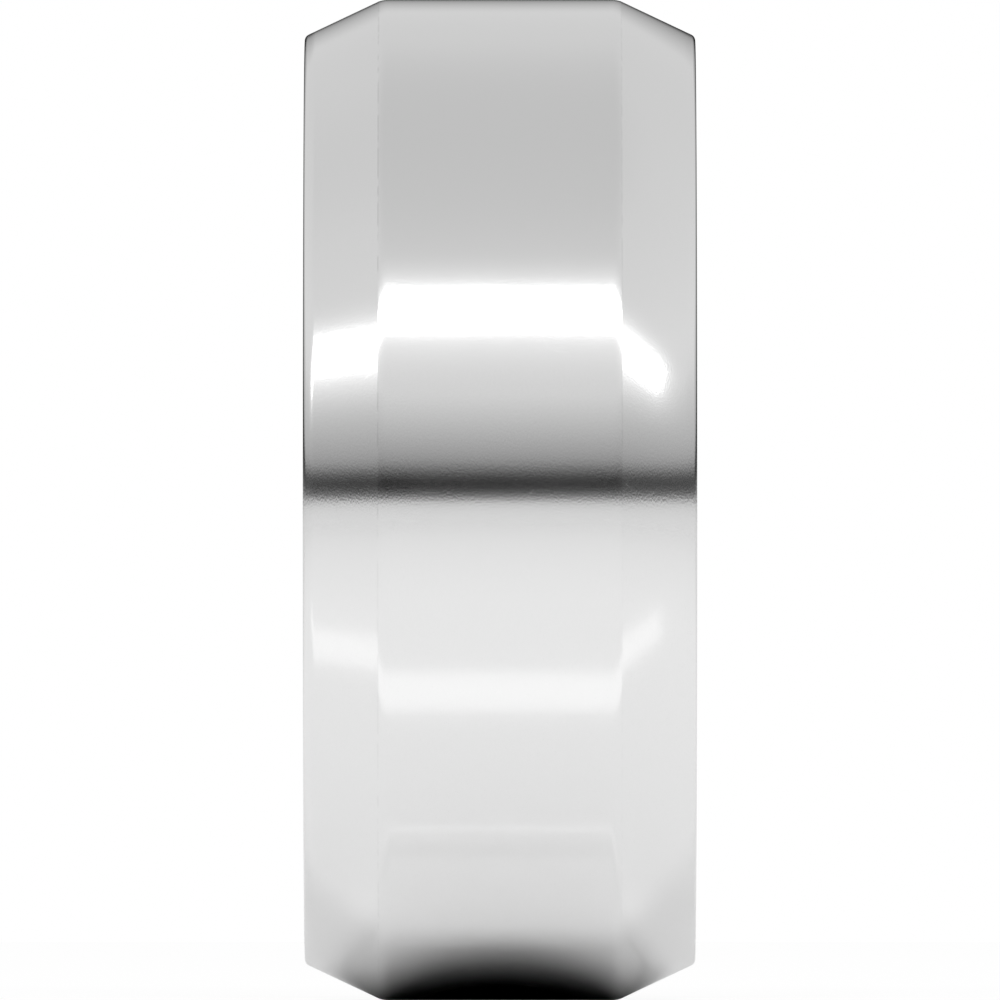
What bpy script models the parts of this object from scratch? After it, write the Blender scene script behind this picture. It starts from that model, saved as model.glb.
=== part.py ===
"""A wedding band: a wide finger ring with a flat tread, bevelled shoulders and a comfort-fit bore.

The band is one piece of metal, turned all round from a single ring blank, so it is one object.
It stands on its tread with the bore along X and Z up. The origin is the centre of the bore.
Lengths are in metres and angles in radians.
"""

from math import asin, cos, pi, radians, sin, sqrt, tan

import bmesh
import bpy

# Driving dimensions.
BAND_WIDTH = 0.0080  # along the bore, over the two side faces
OUTER_DIAMETER = 0.0205  # over the tread
BORE_DIAMETER = 0.0173  # at the crown of the bore, which sets the finger size (US 7)
TREAD_WIDTH = 0.00496  # over the tread's eased edges, from one arris to the other
BEVEL_ANGLE = radians(25.3)  # slope of a shoulder, from the tread down to its rim
EASE_RADIUS = 0.00062  # rolls the tread's edge over before it meets the arris
EASE_ANGLE = radians(19.0)  # how far the tread has turned where the arris cuts it off
RIM_RADIUS = 0.00014  # rounds a shoulder into its side face
COMFORT_RISE = 0.00022  # how far the bore opens out from its crown to its mouths
MOUTH_RADIUS = 0.00022  # rounds the bore into a side face

# How finely the round shapes are cut.
SEGMENTS = 96  # around the bore, a multiple of 4 so that corners lie on the Y and Z axes
EASE_STEPS = 2
RIM_STEPS = 4
MOUTH_STEPS = 4
CROWN_STEPS = 3  # from the bore's crown to one mouth
SMOOTH_UP_TO = radians(24.0)  # shading stays smooth across edges flatter than this

# The metal: polished white gold with a rhodium finish.
METAL_COLOUR = (0.83, 0.83, 0.825, 1.0)
METAL_ROUGHNESS = 0.08


def arc(centre, radius, start, end, steps):
    """Points (x, r) of an arc whose outward normal turns from start to end, measured from +r towards +x."""
    turns = [start + (end - start) * i / steps for i in range(steps + 1)]
    return [(centre[0] + radius * sin(a), centre[1] + radius * cos(a)) for a in turns]


def half_profile():
    """The section's outline for x >= 0, as points (x, r), from the tread to the middle of the bore."""
    side = BAND_WIDTH / 2
    tread_radius = OUTER_DIAMETER / 2
    crown_radius = BORE_DIAMETER / 2

    ease_start = TREAD_WIDTH / 2 - EASE_RADIUS * sin(EASE_ANGLE)
    ease = arc((ease_start, tread_radius - EASE_RADIUS), EASE_RADIUS, 0, EASE_ANGLE, EASE_STEPS)

    # The rim's centre lies one radius in from the side face and one radius below the bevel.
    arris_x, arris_r = ease[-1]
    rim_x = side - RIM_RADIUS
    rim_r = arris_r - (rim_x - arris_x) * tan(BEVEL_ANGLE) - RIM_RADIUS / cos(BEVEL_ANGLE)
    rim = arc((rim_x, rim_r), RIM_RADIUS, BEVEL_ANGLE, pi / 2, RIM_STEPS)

    # The bore is a shallow arc, convex towards the finger, and its mouths roll tangentially out of it.
    bore_arc = (side**2 + COMFORT_RISE**2) / (2 * COMFORT_RISE)
    mouth_x = side - MOUTH_RADIUS
    reach = bore_arc - MOUTH_RADIUS
    mouth_r = crown_radius + bore_arc - sqrt(reach**2 - mouth_x**2)
    lean = asin(mouth_x / reach)
    mouth = arc((mouth_x, mouth_r), MOUTH_RADIUS, pi / 2, pi - lean, MOUTH_STEPS)
    crown = arc((0, crown_radius + bore_arc), bore_arc, pi - lean, pi, CROWN_STEPS)[1:]

    return ease + rim + mouth + crown


def full_profile():
    """The whole closed section, once round from the tread over the right shoulder and back by the left."""
    right = half_profile()
    left = [(-x, r) for x, r in reversed(right[:-1])]
    return right + left


def polished_metal():
    metal = bpy.data.materials.new("polished_white_gold")
    metal.use_nodes = True
    shader = metal.node_tree.nodes["Principled BSDF"]
    shader.inputs["Base Color"].default_value = METAL_COLOUR
    shader.inputs["Metallic"].default_value = 1.0
    shader.inputs["Roughness"].default_value = METAL_ROUGHNESS
    metal.diffuse_color = METAL_COLOUR
    return metal


def turned_ring(name, profile):
    """The ring that a closed section (x, r) sweeps round the X axis."""
    bm = bmesh.new()
    corners = [bm.verts.new((x, 0, r)) for x, r in profile]
    edges = [bm.edges.new((corners[i - 1], corner)) for i, corner in enumerate(corners)]
    bmesh.ops.spin(
        bm,
        geom=corners + edges,
        cent=(0, 0, 0),
        axis=(1, 0, 0),
        angle=2 * pi,
        steps=SEGMENTS,
        use_merge=True,
    )
    bmesh.ops.recalc_face_normals(bm, faces=bm.faces)
    mesh = bpy.data.meshes.new(name)
    bm.to_mesh(mesh)
    bm.free()
    mesh.shade_smooth()
    mesh.set_sharp_from_angle(angle=SMOOTH_UP_TO)
    ring = bpy.data.objects.new(name, mesh)
    bpy.context.scene.collection.objects.link(ring)
    return ring


def clear_scene():
    for obj in list(bpy.data.objects):
        bpy.data.objects.remove(obj)


def main():
    clear_scene()
    band = turned_ring("band", full_profile())
    band.data.materials.append(polished_metal())


main()
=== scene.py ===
"""Looks for the wedding band: the finely turned ring, its polished metal, and a small product studio.

The band is one piece of metal, so it is one mesh. The frame puts its bore along X and the floor under
it in -Z; the camera looks along +Y, square on to the tread. Lengths are in metres, angles in radians
unless a comment says degrees.
"""

from math import asin, atan, cos, pi, radians, sin, sqrt, tan

import bpy
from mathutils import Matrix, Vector


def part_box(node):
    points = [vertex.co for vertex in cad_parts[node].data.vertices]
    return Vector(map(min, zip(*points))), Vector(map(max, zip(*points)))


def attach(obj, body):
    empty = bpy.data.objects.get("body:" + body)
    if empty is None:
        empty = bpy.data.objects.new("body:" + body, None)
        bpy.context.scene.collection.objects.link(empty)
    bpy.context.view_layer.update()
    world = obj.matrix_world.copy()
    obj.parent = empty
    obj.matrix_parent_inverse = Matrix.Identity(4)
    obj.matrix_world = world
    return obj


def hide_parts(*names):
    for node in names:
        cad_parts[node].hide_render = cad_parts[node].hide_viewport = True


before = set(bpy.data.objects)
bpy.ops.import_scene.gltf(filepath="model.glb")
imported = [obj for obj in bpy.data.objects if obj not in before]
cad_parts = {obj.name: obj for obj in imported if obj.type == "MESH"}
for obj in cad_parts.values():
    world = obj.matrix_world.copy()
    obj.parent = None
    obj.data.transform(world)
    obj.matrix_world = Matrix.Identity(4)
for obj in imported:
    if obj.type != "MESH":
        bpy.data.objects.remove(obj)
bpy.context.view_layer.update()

# ---------------------------------------------------------------- sizes of the ring
# The frame gives the width and the diameter; the rest is the design of the section.
BAND_LOW, BAND_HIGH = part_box("band")
HALF_WIDTH = BAND_HIGH[0]
TREAD_RADIUS = BAND_HIGH[2]
CROWN_RADIUS = 0.00865  # of the bore, at its middle
TREAD_HALF = 0.00248  # from the middle of the tread to an arris
BEVEL_ANGLE = radians(25.3)  # slope of the shoulders
EASE_RADIUS = 0.00062  # rolls the tread over before the arris
EASE_ANGLE = radians(19.0)
RIM_RADIUS = 0.00014  # rounds a shoulder into the side face
COMFORT_RISE = 0.00022  # opens the bore towards its mouths
MOUTH_RADIUS = 0.00022  # rounds the bore into the side face

# Buffing leaves the shape alone, but leans the polish, which is the shading's normals.
CROWNING = radians(10.5)  # how far the right shoulder's polish leans over towards its rim
ROLL_WIDTH = 0.000145  # beside each rim, where the polish rolls over
ROLL_LEAN = radians(38.0)  # how far it leans where the rim begins
RIM_SHARE = 0.89  # at each point of a rim, its polish has this share of the shape's turn still to go

# How finely the ring is cut: around the bore, and along each kind of run of the section.
SEGMENTS = 720
FLAT_STEPS = 6
ROLL_STEPS = 6
SIDE_STEPS = 2
EASE_STEPS = 6
RIM_STEPS = 10
MOUTH_STEPS = 10
CROWN_STEPS = 8


# ---------------------------------------------------------------- the ring's section
# A run is a list of points (x, r, lean), where lean is the normal's angle from +r towards +x.
def line(start, end, lean, steps, extra_lean=0.0, levels_off=False):
    """A straight run. Its polish may lean over by extra_lean on the way, evenly or levelling off."""
    points = []
    for i in range(steps + 1):
        t = i / steps
        x = start[0] + (end[0] - start[0]) * t
        r = start[1] + (end[1] - start[1]) * t
        share = t * (2 - t) if levels_off else t
        points.append((x, r, lean + extra_lean * share))
    return points


def arc(centre, radius, start, end, steps):
    """A round run whose normal turns from start to end."""
    leans = [start + (end - start) * i / steps for i in range(steps + 1)]
    return [(centre[0] + radius * sin(a), centre[1] + radius * cos(a), a) for a in leans]


def outer_runs(crowning):
    """The tread's right half, its eased edge, the shoulder, its rolled end and the rim."""
    ease_x = TREAD_HALF - EASE_RADIUS * sin(EASE_ANGLE)
    ease = arc((ease_x, TREAD_RADIUS - EASE_RADIUS), EASE_RADIUS, 0, EASE_ANGLE, EASE_STEPS)
    tread = line((0, TREAD_RADIUS), ease[0], 0, FLAT_STEPS)

    arris_x, arris_r = ease[-1][:2]
    rim_x = HALF_WIDTH - RIM_RADIUS
    rim_r = arris_r - (rim_x - arris_x) * tan(BEVEL_ANGLE) - RIM_RADIUS / cos(BEVEL_ANGLE)
    rim = arc((rim_x, rim_r), RIM_RADIUS, BEVEL_ANGLE, pi / 2, RIM_STEPS)
    rim = [(x, r, max(pi / 2 - RIM_SHARE * (pi / 2 - lean), ROLL_LEAN)) for x, r, lean in rim]

    roll_start = (rim[0][0] - ROLL_WIDTH, rim[0][1] + ROLL_WIDTH * tan(BEVEL_ANGLE))
    shoulder = line(ease[-1], roll_start, BEVEL_ANGLE, FLAT_STEPS, crowning)
    roll_lean = BEVEL_ANGLE + crowning
    roll = line(roll_start, rim[0], roll_lean, ROLL_STEPS, ROLL_LEAN - roll_lean, levels_off=True)
    return [tread, ease, shoulder, roll, rim]


def bore_runs():
    """The mouth on the right and the comfort-fit curve from there to the middle of the bore."""
    bore_arc = (HALF_WIDTH**2 + COMFORT_RISE**2) / (2 * COMFORT_RISE)
    mouth_x = HALF_WIDTH - MOUTH_RADIUS
    reach = bore_arc - MOUTH_RADIUS
    mouth_r = CROWN_RADIUS + bore_arc - sqrt(reach**2 - mouth_x**2)
    lean = asin(mouth_x / reach)
    mouth = arc((mouth_x, mouth_r), MOUTH_RADIUS, pi / 2, pi - lean, MOUTH_STEPS)
    crown = arc((0, CROWN_RADIUS + bore_arc), bore_arc, pi - lean, pi, CROWN_STEPS)
    return [mouth, crown]


def half_section(crowning):
    """The runs of the section for x >= 0, from the middle of the tread to the middle of the bore."""
    outer = outer_runs(crowning)
    bore = bore_runs()
    side = line(outer[-1][-1], bore[0][0], pi / 2, SIDE_STEPS)
    return outer + [side] + bore


def mirrored(runs):
    """The same runs on the other side of the middle, in the order that carries on from them."""
    return [[(-x, r, -lean) for x, r, lean in reversed(run)] for run in reversed(runs)]


# ---------------------------------------------------------------- the ring's mesh
def link(obj):
    bpy.context.scene.collection.objects.link(obj)
    return obj


def turned_ring(name, runs):
    """The closed ring that the runs sweep round the X axis, shaded with the section's own normals."""
    strips = [(run[i], run[i + 1]) for run in runs for i in range(len(run) - 1)]
    turns = [2 * pi * k / SEGMENTS for k in range(SEGMENTS + 1)]
    count = len(strips)
    verts = [(a[0], a[1] * sin(turn), a[1] * cos(turn)) for turn in turns[:-1] for a, b in strips]
    faces = []
    normals = []
    for k in range(SEGMENTS):
        this = k * count
        after = (k + 1) % SEGMENTS * count
        for i, (a, b) in enumerate(strips):
            j = (i + 1) % count
            faces.append((this + i, this + j, after + j, after + i))
            corners = ((a, turns[k]), (b, turns[k]), (b, turns[k + 1]), (a, turns[k + 1]))
            for (x, r, lean), turn in corners:
                normals.append((sin(lean), cos(lean) * sin(turn), cos(lean) * cos(turn)))
    mesh = bpy.data.meshes.new(name)
    mesh.from_pydata(verts, [], faces)
    mesh.shade_smooth()
    mesh.normals_split_custom_set(normals)
    return link(bpy.data.objects.new(name, mesh))


# ---------------------------------------------------------------- node helpers
class Tree:
    """Adds nodes to a material's or a world's node tree; a value is a number or a node's output."""

    def __init__(self, owner):
        owner.use_nodes = True
        self.nodes = owner.node_tree.nodes
        self.links = owner.node_tree.links

    def set(self, socket, value):
        if isinstance(value, bpy.types.NodeSocket):
            self.links.new(value, socket)
        else:
            socket.default_value = value

    def node(self, kind, inputs=(), **settings):
        node = self.nodes.new("ShaderNode" + kind)
        for name, value in settings.items():
            setattr(node, name, value)
        for key, value in dict(inputs).items():
            self.set(node.inputs[key], value)
        return node

    def add(self, kind, inputs=(), output=0, **settings):
        """The named or numbered output of a new node."""
        return self.node(kind, inputs, **settings).outputs[output]

    def math(self, operation, *values, clamp=False):
        return self.add("Math", enumerate(values), operation=operation, use_clamp=clamp)

    def product(self, first, *others):
        for other in others:
            first = self.math("MULTIPLY", first, other)
        return first

    def distance(self, x, y, x_unit=1.0, y_unit=1.0):
        """The distance of (x, y) from the origin, in units that may differ between the two axes."""
        shares = (self.math("DIVIDE", x, x_unit), self.math("DIVIDE", y, y_unit))
        return self.math("SQRT", self.math("ADD", *[self.math("POWER", share, 2.0) for share in shares]))

    def vector(self, x, y, z):
        return self.add("CombineXYZ", {0: x, 1: y, 2: z})

    def grey(self, value):
        return self.add("CombineColor", {0: value, 1: value, 2: value})

    def ramp(self, value, low, high, at_low, at_high, shape="SMOOTHSTEP"):
        """A value that goes from at_low to at_high while the given value goes from low to high."""
        inputs = {"Value": value, "From Min": low, "From Max": high, "To Min": at_low, "To Max": at_high}
        return self.add("MapRange", inputs, interpolation_type=shape)

    def noise(self, vector, scale, detail=2.0, roughness=0.5):
        inputs = {"Vector": vector, "Scale": scale, "Detail": detail, "Roughness": roughness}
        return self.add("TexNoise", inputs)


# ---------------------------------------------------------------- the metal
METAL_GREY = 0.775  # rhodium-plated white gold reflects about this much, with hardly any colour
GREY_SPREAD = 0.008  # how much of that the grain adds or takes away
METAL_ROUGHNESS = 0.107
ROUGHNESS_SPREAD = 0.008
SCRATCH_ROUGHNESS = 0.06  # added along a scratch
RELIEF = 3.9e-7  # height of the polish's grain
LINE_RELIEF = 0.15  # heights of the turning lines and of the scratches, in heights of the grain
SCRATCH_RELIEF = -0.25

# How many noise cells there are to a metre.
GRAIN = 20000.0
GRAIN_SQUEEZE = 2.2  # the grain is this much finer along the bore
TURNING_LINES = 26000.0
CLOUDS = 420.0
ARRIS_BREAKS = 3200.0
SCRATCHES = 700.0
SCRATCH_PATCHES = 1900.0

LINE_BREAKS = 5.0  # noise cells to a radian along a turning line
SCRATCH_SLANT = 0.003  # how far along the bore a scratch wanders in a radian
SCRATCH_RADIAN = 0.012  # and how long a radian is to the noise that draws it
SCRATCH_WIDTH = 0.004  # of the noise's range

# Painted shade: a fine dark line in the metal's colour along each arris, where the crease is shaded.
ARRIS_SHADE_HALF_WIDTH = 0.00002  # half the width of the painted shade along an arris
ARRIS_SHADE_LEFT = 0.11  # how much darker than the metal that painted shade is
ARRIS_SHADE_RIGHT = 0.045
ARRIS_SHADE_BELOW = 0.45  # the share of that which is left below the ring's middle


def arris_painted_shade(tree, x, y, z, radius):
    """How much darker the metal is painted along each arris: a fine broken line of painted shade in the
    crease, weaker on the right and below the ring's middle.
    """
    from_arris = tree.math("ABSOLUTE", tree.math("SUBTRACT", tree.math("ABSOLUTE", x), TREAD_HALF))
    on_arris = tree.ramp(from_arris, 0.4 * ARRIS_SHADE_HALF_WIDTH, 1.2 * ARRIS_SHADE_HALF_WIDTH, 1.0, 0.0)
    outside = tree.math("GREATER_THAN", radius, (CROWN_RADIUS + TREAD_RADIUS) / 2)
    broken = tree.ramp(tree.noise(tree.vector(x, y, z), ARRIS_BREAKS, detail=0.0), 0.35, 0.6, 0.0, 1.0)
    left_to_right = tree.ramp(x, -TREAD_HALF, TREAD_HALF, ARRIS_SHADE_LEFT, ARRIS_SHADE_RIGHT)
    below_to_above = tree.ramp(z, -0.001, 0.001, ARRIS_SHADE_BELOW, 1.0)
    return tree.product(on_arris, outside, broken, left_to_right, below_to_above)


def hairline_scratches(tree, x, across, up):
    """Thin contours of a noise that is wrapped round the ring, kept only in scattered patches."""
    slanted = tree.vector(
        tree.math("MULTIPLY_ADD", across, SCRATCH_SLANT, x),
        tree.product(across, SCRATCH_RADIAN),
        tree.product(up, SCRATCH_RADIAN),
    )
    from_middle = tree.math("SUBTRACT", tree.noise(slanted, SCRATCHES, detail=0.0), 0.5)
    thin = tree.ramp(tree.math("ABSOLUTE", from_middle), 0.0, SCRATCH_WIDTH, 1.0, 0.0)
    patches = tree.ramp(tree.noise(slanted, SCRATCH_PATCHES, detail=1.0), 0.56, 0.66, 0.0, 1.0)
    return tree.product(thin, patches)


def polished_metal():
    """Mirror-polished white gold, with a fine grain, turning lines, scratches and painted shade along each
    arris.
    """
    metal = bpy.data.materials.new("polished_white_gold")
    tree = Tree(metal)
    shader = tree.nodes["Principled BSDF"]
    shader.inputs["Metallic"].default_value = 1.0
    place = tree.add("SeparateXYZ", {0: tree.add("TexCoord", output="Object")})
    x, y, z = place.node.outputs
    radius = tree.distance(y, z)
    across = tree.math("DIVIDE", y, radius)
    up = tree.math("DIVIDE", z, radius)

    grain = tree.noise(tree.vector(tree.product(x, GRAIN_SQUEEZE), y, z), GRAIN, detail=0.0)
    lowest = METAL_GREY * (1.0 - GREY_SPREAD)
    highest = METAL_GREY * (1.0 + GREY_SPREAD)
    # The base colour carries the painted shade along each arris.
    shade = tree.math("SUBTRACT", 1.0, arris_painted_shade(tree, x, y, z, radius))
    grey = tree.product(tree.ramp(grain, 0.25, 0.75, lowest, highest, "LINEAR"), shade)
    tree.set(shader.inputs["Base Color"], tree.grey(grey))

    scratches = hairline_scratches(tree, x, across, up)
    clouds = tree.noise(tree.vector(x, y, z), CLOUDS, detail=3.0)
    smooth = METAL_ROUGHNESS - ROUGHNESS_SPREAD
    rough = METAL_ROUGHNESS + ROUGHNESS_SPREAD
    cloudy = tree.ramp(clouds, 0.3, 0.7, smooth, rough, "LINEAR")
    tree.set(shader.inputs["Roughness"], tree.math("MULTIPLY_ADD", scratches, SCRATCH_ROUGHNESS, cloudy))

    # Turning lines run round the ring, so their noise is stretched that way.
    along = tree.vector(
        tree.product(x, TURNING_LINES),
        tree.product(across, LINE_BREAKS),
        tree.product(up, LINE_BREAKS),
    )
    lines = tree.noise(along, 1.0, detail=3.0, roughness=0.6)
    height = tree.math("MULTIPLY_ADD", scratches, SCRATCH_RELIEF, grain)
    height = tree.math("MULTIPLY_ADD", lines, LINE_RELIEF, height)
    relief = tree.add("Bump", {"Height": height, "Strength": 1.0, "Distance": RELIEF}, output="Normal")
    tree.set(shader.inputs["Normal"], relief)
    return metal


# ---------------------------------------------------------------- the studio
WHITE = (1.0, 1.0, 1.0, 1.0)
HORIZON = 0.14  # brightness of the dim horizon
GAP_FROM = 2.5  # degrees, between which the gap over it is black
GAP_TO = 4.0
WALL_FOOT = 0.30  # brightness of the wall's foot, just over the gap
WALL_FOOT_TO = 9.5  # degrees, where all of it is there
WALL = 0.76  # brightness of the wall
WALL_FROM = 7.5  # degrees between which it rises to that
WALL_TO = 24.0
ZENITH_FROM = 46.0  # degrees
ZENITH_DIMMING = 0.11  # of the dome's brightness, from there up to the zenith
FRONT_GAIN = 0.08  # the wall in front is this much brighter
SIDE_GAIN = 0.045  # brightness added towards the sides
SIDE_GAIN_TO = 4.0  # degrees up, where all of it is added
SIDE_GLOW = 0.14  # and high up, close to the sides
SIDE_GLOW_FROM = 16.0  # degrees between which it fades in
SIDE_GLOW_TO = 26.0
SIDE_SINK = 0.105  # how much lower the dark gap ends at the sides
SIDE_SINK_FROM = 1.5  # degrees between which that sets in
SIDE_SINK_TO = 8.5
BACK_RISE = 0.08  # how much higher it ends at the back
FLOOR_FAR = 0.87  # brightness of the floor beyond its disc
FLOOR_FAR_TO = -4.0  # degrees, from where it dims towards the horizon
FLOOR_AT_HORIZON = 0.80

# The fill lamp shares the softbox's place and size. It lights the floor, and no reflection shows it.
SOFTBOX_DISTANCE = 2.0
SOFTBOX_LOW = radians(39.5)
SOFTBOX_HIGH = radians(49.2)
SOFTBOX_RADIANCE = 2.0
FILL_RADIANCE = 5.22
SOFTBOX_LEFT = -1.88  # its ends, in distances from the middle
SOFTBOX_RIGHT = 1.73
GLOW = 0.32  # brightness of the light it spills on the wall, at its edge
GLOW_BELOW = radians(16)  # how far the spill reaches
GLOW_ABOVE = radians(10)
GLOW_BESIDE = radians(10)

FLOOR_RADIUS = 0.12
FLOOR_CORNERS = 96
FLOOR_GAP = 5e-6  # under the ring's lowest point
FLOOR_WHITE = 0.894
FLOOR_LIT = 0.03  # how far from the ring the floor's painted light is at its brightest
FLOOR_EDGE = 0.86  # how much of that is left at the disc's edge
FLOOR_GLOSS = 0.083
FLOOR_GLOSS_ROUGHNESS = 0.08
BACKDROP_IOR = 1.33  # sets how soon the painted backdrop reflection takes over as the view gets flatter
CONTACT_LENGTH = 0.0039  # the painted shade under the ring: half its size along the bore
CONTACT_DEPTH = 0.0045  # and half its size across
CONTACT_CORE = 0.40  # the share of it that is black
BOUNCE = 0.08  # how much brighter the floor's colour is painted beside the ring, for the light its shoulders throw down
BOUNCE_FROM = 0.85  # of the contact shade's half length, where that sets in
BOUNCE_FADES_FROM = 1.2  # in sizes of the contact shade, where it fades away
BOUNCE_FADES_TO = 1.7

HALF_VIEW = radians(0.65)  # half the camera's angle of view
CLOSENESS = 0.9995  # at 1, the tread would just fill the picture's height


def rise(degrees):
    """The z of a direction at this elevation."""
    return sin(radians(degrees))


def softbox_glow(tree, x, y, z):
    """The light that the softbox spills round itself, seen in the direction (x, y, z)."""
    pitch = tree.math("ARCTAN2", z, tree.product(y, -1.0))
    aside = tree.math("ARCTAN2", x, tree.distance(y, z))
    left = atan(SOFTBOX_LEFT)
    right = atan(SOFTBOX_RIGHT)
    share = tree.product(
        tree.ramp(pitch, SOFTBOX_LOW - GLOW_BELOW, SOFTBOX_LOW, 0.0, 1.0, "LINEAR"),
        tree.ramp(pitch, SOFTBOX_HIGH, SOFTBOX_HIGH + GLOW_ABOVE, 1.0, 0.0, "LINEAR"),
        tree.ramp(aside, left - GLOW_BESIDE, left, 0.0, 1.0, "LINEAR"),
        tree.ramp(aside, right, right + GLOW_BESIDE, 1.0, 0.0, "LINEAR"),
    )
    return tree.product(share, share, GLOW)


def wall_and_ceiling(tree, x, y, z):
    """Brightness of the dome above the horizon, apart from the softbox's glow."""
    side = tree.product(x, x)
    front = tree.math("MULTIPLY", y, -1.0, clamp=True)
    back = tree.math("MAXIMUM", y, 0.0)

    lift = tree.ramp(z, rise(SIDE_SINK_FROM), rise(SIDE_SINK_TO), 0.0, SIDE_SINK)
    sink = tree.product(side, side, lift)
    lower = tree.math("MULTIPLY_ADD", back, -BACK_RISE, 1.0)
    height = tree.math("MULTIPLY_ADD", z, lower, sink, clamp=True)
    horizon = tree.ramp(height, 0.0, rise(GAP_FROM), HORIZON, 0.0, "LINEAR")
    foot = tree.ramp(height, rise(GAP_TO), rise(WALL_FOOT_TO), 0.0, WALL_FOOT)
    upper = tree.ramp(height, rise(WALL_FROM), rise(WALL_TO), 0.0, WALL - WALL_FOOT, "LINEAR")
    wall = tree.math("ADD", horizon, tree.math("ADD", foot, upper))

    zenith = tree.ramp(z, rise(ZENITH_FROM), 1.0, 1.0, 1.0 - ZENITH_DIMMING)
    facing = tree.math("MULTIPLY_ADD", front, FRONT_GAIN, 1.0)
    sky = tree.product(wall, zenith, facing)
    gain = tree.ramp(z, 0.0, rise(SIDE_GAIN_TO), 0.0, SIDE_GAIN)
    sky = tree.math("MULTIPLY_ADD", side, gain, sky)
    wing = tree.ramp(z, rise(SIDE_GLOW_FROM), rise(SIDE_GLOW_TO), 0.0, SIDE_GLOW)
    return tree.math("MULTIPLY_ADD", tree.math("POWER", side, 3.0), wing, sky)


def studio_dome():
    """A pale dome above a dark horizon, brighter behind the camera. The camera itself sees plain white."""
    world = bpy.data.worlds.new("studio_dome")
    tree = Tree(world)
    tree.nodes.clear()
    way = tree.add("SeparateXYZ", {0: tree.add("TexCoord", output="Generated")})
    x, y, z = way.node.outputs
    sky = tree.math("ADD", wall_and_ceiling(tree, x, y, z), softbox_glow(tree, x, y, z))
    ground = tree.ramp(z, rise(FLOOR_FAR_TO), 0.0, FLOOR_FAR, FLOOR_AT_HORIZON, "LINEAR")
    above = tree.math("GREATER_THAN", z, 0.0)
    around = tree.add("Mix", {"Factor": above, "A": ground, "B": sky})

    by_camera = tree.add("LightPath", output="Is Camera Ray")
    strength = tree.add("Mix", {"Factor": by_camera, "A": around, "B": 1.0})
    tree.node("OutputWorld", {"Surface": tree.add("Background", {"Color": WHITE, "Strength": strength})})
    bpy.context.scene.world = world


def strip_lamp(name, radiance):
    """A long strip light in front of the ring and above it, parallel to the bore."""
    middle = (SOFTBOX_LOW + SOFTBOX_HIGH) / 2
    light = bpy.data.lights.new(name, "AREA")
    light.shape = "RECTANGLE"
    light.size = (SOFTBOX_RIGHT - SOFTBOX_LEFT) * SOFTBOX_DISTANCE
    light.size_y = 2 * SOFTBOX_DISTANCE * tan((SOFTBOX_HIGH - SOFTBOX_LOW) / 2)
    light.energy = radiance * pi * light.size * light.size_y
    lamp = link(bpy.data.objects.new(name, light))
    off_centre = (SOFTBOX_LEFT + SOFTBOX_RIGHT) / 2
    lamp.location = Vector((off_centre, -cos(middle), sin(middle))) * SOFTBOX_DISTANCE
    lamp.rotation_euler = (pi / 2 - middle, 0, 0)
    lamp.visible_camera = False
    return lamp


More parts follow.
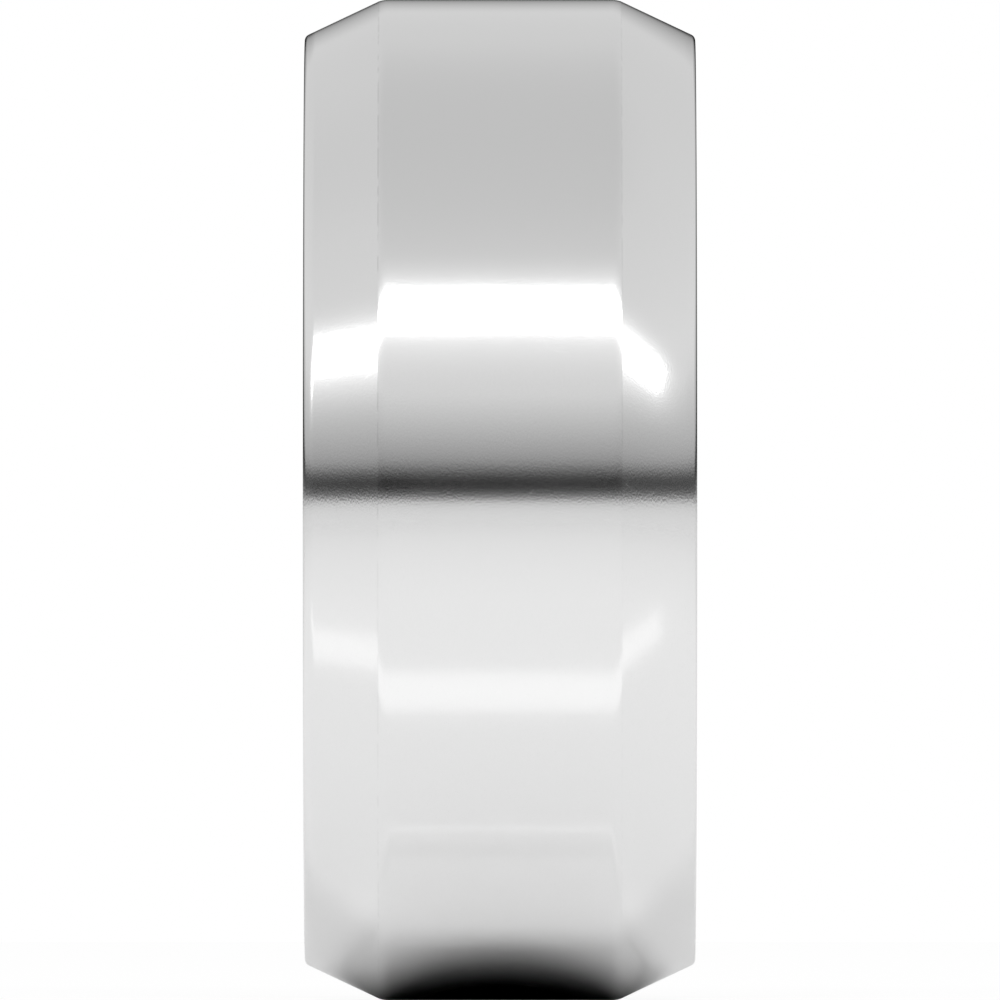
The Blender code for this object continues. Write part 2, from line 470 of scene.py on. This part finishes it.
def glossy_white():
    """White acrylic, painted dark under the ring and lighter beside it, and painted dimmer towards its
    edge. Seen at a grazing angle by the camera it glows white, a painted reflection of the white backdrop.
    """
    white = bpy.data.materials.new("glossy_white")
    tree = Tree(white)
    tree.nodes.clear()
    place = tree.add("SeparateXYZ", {0: tree.add("TexCoord", output="Object")})
    across, along = place.node.outputs[:2]
    # Painted shade under the ring and painted bounce light beside it, both in the floor's colour.
    from_ring = tree.distance(across, along, CONTACT_LENGTH, CONTACT_DEPTH)
    contact = tree.ramp(from_ring, CONTACT_CORE, 1.0, 0.0, FLOOR_WHITE)
    aside = tree.math("ABSOLUTE", across)
    beside = tree.ramp(aside, BOUNCE_FROM * CONTACT_LENGTH, CONTACT_LENGTH, 0.0, BOUNCE)
    near = tree.ramp(from_ring, BOUNCE_FADES_FROM, BOUNCE_FADES_TO, 1.0, 0.0)
    bounce = tree.math("MULTIPLY_ADD", beside, near, 1.0)
    # Painted light: the floor's colour dims from near the ring towards the disc's edge.
    painted_light_falloff = tree.ramp(tree.distance(across, along), FLOOR_LIT, FLOOR_RADIUS, 1.0, FLOOR_EDGE, "LINEAR")
    matt = tree.add("BsdfDiffuse", {"Color": tree.grey(tree.product(contact, bounce, painted_light_falloff))})
    gloss = tree.add("BsdfAnisotropic", {"Color": WHITE, "Roughness": FLOOR_GLOSS_ROUGHNESS})
    acrylic = tree.add("MixShader", {0: FLOOR_GLOSS, 1: matt, 2: gloss})
    # Painted reflection: for the camera, at grazing angles, the floor glows as white as the backdrop.
    backdrop = tree.add("Emission", {"Color": WHITE, "Strength": 1.0})
    by_camera = tree.add("LightPath", output="Is Camera Ray")
    grazing = tree.product(tree.add("Fresnel", {"IOR": BACKDROP_IOR}), by_camera)
    surface = tree.add("MixShader", {0: grazing, 1: acrylic, 2: backdrop})
    tree.node("OutputMaterial", {"Surface": surface})
    return white


def floor():
    """A disc just under the ring's lowest point."""
    height = BAND_LOW[2] - FLOOR_GAP
    turns = [2 * pi * k / FLOOR_CORNERS for k in range(FLOOR_CORNERS)]
    edge = [(FLOOR_RADIUS * cos(turn), FLOOR_RADIUS * sin(turn), height) for turn in turns]
    mesh = bpy.data.meshes.new("floor")
    mesh.from_pydata(edge, [], [range(FLOOR_CORNERS)])
    mesh.materials.append(glossy_white())
    link(bpy.data.objects.new("floor", mesh))


def camera():
    """Level with the ring's middle and square on to its tread, which fills the picture's height."""
    lens = bpy.data.cameras.new("camera")
    lens.angle = 2 * HALF_VIEW
    lens.clip_start = 0.01
    lens.clip_end = 10.0
    eye = link(bpy.data.objects.new("camera", lens))
    eye.location = (0, -CLOSENESS * TREAD_RADIUS / sin(HALF_VIEW), 0)
    eye.rotation_euler = (pi / 2, 0, 0)
    bpy.context.scene.camera = eye


def main():
    ring = turned_ring("band_polished", half_section(CROWNING) + mirrored(half_section(0.0)))
    ring.data.materials.append(polished_metal())
    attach(ring, "root")
    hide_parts("band")

    floor()
    studio_dome()
    strip_lamp("softbox", SOFTBOX_RADIANCE)
    fill = strip_lamp("fill", FILL_RADIANCE)
    fill.visible_glossy = False
    camera()
    bpy.context.scene.view_settings.view_transform = "Standard"


main()
